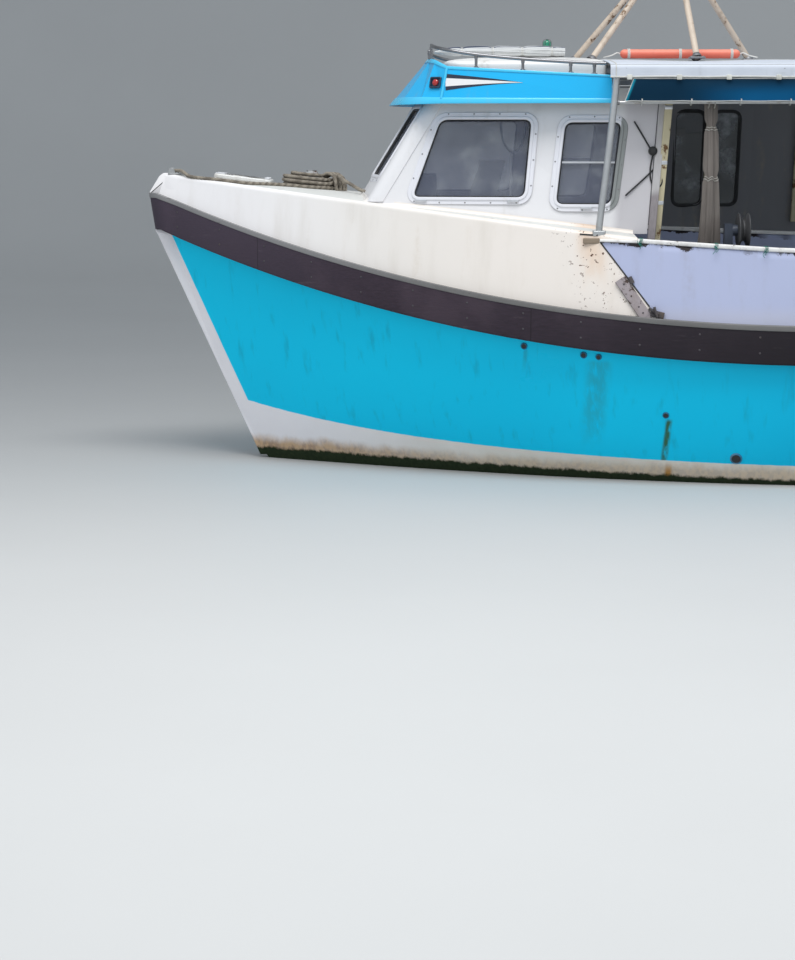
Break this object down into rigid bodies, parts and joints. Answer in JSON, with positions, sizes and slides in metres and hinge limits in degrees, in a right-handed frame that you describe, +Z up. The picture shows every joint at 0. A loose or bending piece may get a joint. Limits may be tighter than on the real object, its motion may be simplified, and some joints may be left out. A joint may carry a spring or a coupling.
{
  "type": "inshore fishing trawler",
  "caption": "Small forward-wheelhouse fishing boat afloat: decked hull with rubbing strakes, wheelhouse with blue visor, canopy shelter, stern gantry, winch, net drum, propeller and rudder.",
  "frame": {"origin": "on the centreline amidships, on the surface of the water that the boat floats in", "axes": "+X to the bow, +Y to port, +Z up"},
  "size_m": [8.414, 3.0146, 4.69],
  "materials": {
    "hull_gelcoat": "gloss, salt-dulled",
    "strake_timber": "tarred timber, worn",
    "white_gelcoat": "gloss, stained",
    "bulwark_sheet": "paint, flaking",
    "rail_timber": "painted timber",
    "deck_coating": "non-slip coating",
    "cabin_glass": "clear",
    "dark_glass": "clear",
    "visor_paint": "gloss",
    "sheet_fabric": "coated fabric",
    "fascia_fabric": "coated fabric",
    "steel_tube": "satin",
    "post_paint": "cream paint",
    "canvas": "woven canvas",
    "float_skin": "soft skin",
    "lamp_body": "moulded",
    "console_board": "varnished board",
    "black_moulding": "moulded",
    "seat_vinyl": "vinyl",
    "galvanised": "galvanised, dull",
    "rope_fibre": "laid fibre",
    "engine_paint": "enamel",
    "gear_paint": "paint, chipped",
    "drum_steel": "worn",
    "bronze": "cast",
    "antifouling": "matt antifouling"
  },
  "bodies": {
    "boat": {"hull": "hull_gelcoat", "rubbing_strake_port": "strake_timber", "rubbing_strake_starboard": "strake_timber", "topside_moulding": "white_gelcoat", "stem_facing": "white_gelcoat", "stem_head": "white_gelcoat", "aft_bulwark": "bulwark_sheet", "bulwark_rail": "rail_timber", "working_deck": "deck_coating", "engine_block": "engine_paint", "fish_hatch_coaming": "white_gelcoat", "mooring_bitt": "galvanised", "rope_coil": "rope_fibre", "rope_run": "rope_fibre", "stem_fairlead": "galvanised", "wheelhouse_shell": "white_gelcoat", "side_window_fore_port": "cabin_glass", "side_window_fore_starboard": "cabin_glass", "side_window_aft_port": "cabin_glass", "side_window_aft_starboard": "cabin_glass", "windscreen_middle": "cabin_glass", "windscreen_port": "cabin_glass", "windscreen_starboard": "cabin_glass", "wheelhouse_bulkhead": "white_gelcoat", "visor_band": "visor_paint", "wheelhouse_roof": "white_gelcoat", "canopy_sheet": "sheet_fabric", "shelter_frame": "steel_tube", "shelter_fascia_port": "fascia_fabric", "shelter_wall_starboard": "white_gelcoat", "shelter_window_fore": "dark_glass", "shelter_window_aft": "dark_glass", "shelter_post": "post_paint", "mast_tripod": "steel_tube", "roof_rail_port": "steel_tube", "roof_rail_starboard": "steel_tube", "canvas_roll": "canvas", "sausage_float": "float_skin", "roof_lamp": "lamp_body", "console": "console_board", "helm_seat_base": "galvanised", "helm_seat_cushion": "seat_vinyl", "winch_frame": "gear_paint", "net_drum_stand": "gear_paint", "stern_gantry": "gear_paint", "towing_block_port": "drum_steel", "towing_block_starboard": "drum_steel", "hauler_base": "black_moulding"},
    "propeller": {"propeller": "bronze"},
    "rudder": {"rudder": "antifouling"},
    "helm_wheel": {"helm_wheel": "black_moulding"},
    "cabin_door": {"cabin_door": "white_gelcoat", "cabin_door_glass": "cabin_glass"},
    "foredeck_hatch": {"foredeck_hatch": "white_gelcoat"},
    "engine_hatch": {"engine_hatch": "deck_coating"},
    "fish_hatch": {"fish_hatch": "white_gelcoat"},
    "winch_drums": {"winch_drums": "drum_steel"},
    "net_drum": {"net_drum": "drum_steel"},
    "hauler_disc": {"hauler_disc": "black_moulding"}
  },
  "joints": [
    {"name": "propeller_spin", "type": "hinge", "parent": "boat", "child": "propeller", "pos_m": [-3.38, 0, -0.56], "axis": [1, 0, 0], "continuous": true},
    {"name": "rudder_turn", "type": "hinge", "parent": "boat", "child": "rudder", "pos_m": [-3.72, 0, -0.5], "axis": [0, 0, 1], "range_deg": [-35, 35]},
    {"name": "helm_turn", "type": "hinge", "parent": "boat", "child": "helm_wheel", "pos_m": [1.9547, -0.35, 1.3], "axis": [1, 0, 0], "range_deg": [-720, 720]},
    {"name": "cabin_door_slide", "type": "slide", "parent": "boat", "child": "cabin_door", "axis": [0, -1, 0], "range_m": [0, 0.5]},
    {"name": "foredeck_hatch_hinge", "type": "hinge", "parent": "boat", "child": "foredeck_hatch", "pos_m": [3.8131, 0, 1.8864], "axis": [0, 1, 0], "range_deg": [0, 100]},
    {"name": "engine_hatch_hinge", "type": "hinge", "parent": "boat", "child": "engine_hatch", "pos_m": [0.97, 0, 0.4543], "axis": [0, 1, 0], "range_deg": [0, 90]},
    {"name": "fish_hatch_hinge", "type": "hinge", "parent": "boat", "child": "fish_hatch", "pos_m": [-1.192, 0, 0.6063], "axis": [0, 1, 0], "range_deg": [0, 100]},
    {"name": "winch_drum_spin", "type": "hinge", "parent": "boat", "child": "winch_drums", "pos_m": [-0.56, 0, 0.8], "axis": [0, 1, 0], "continuous": true},
    {"name": "net_drum_spin", "type": "hinge", "parent": "boat", "child": "net_drum", "pos_m": [-2.95, 0, 1.01], "axis": [0, 1, 0], "continuous": true},
    {"name": "hauler_spin", "type": "hinge", "parent": "boat", "child": "hauler_disc", "pos_m": [0.555, 1.19, 1.56], "axis": [1, 0, 0], "continuous": true}
  ]
}
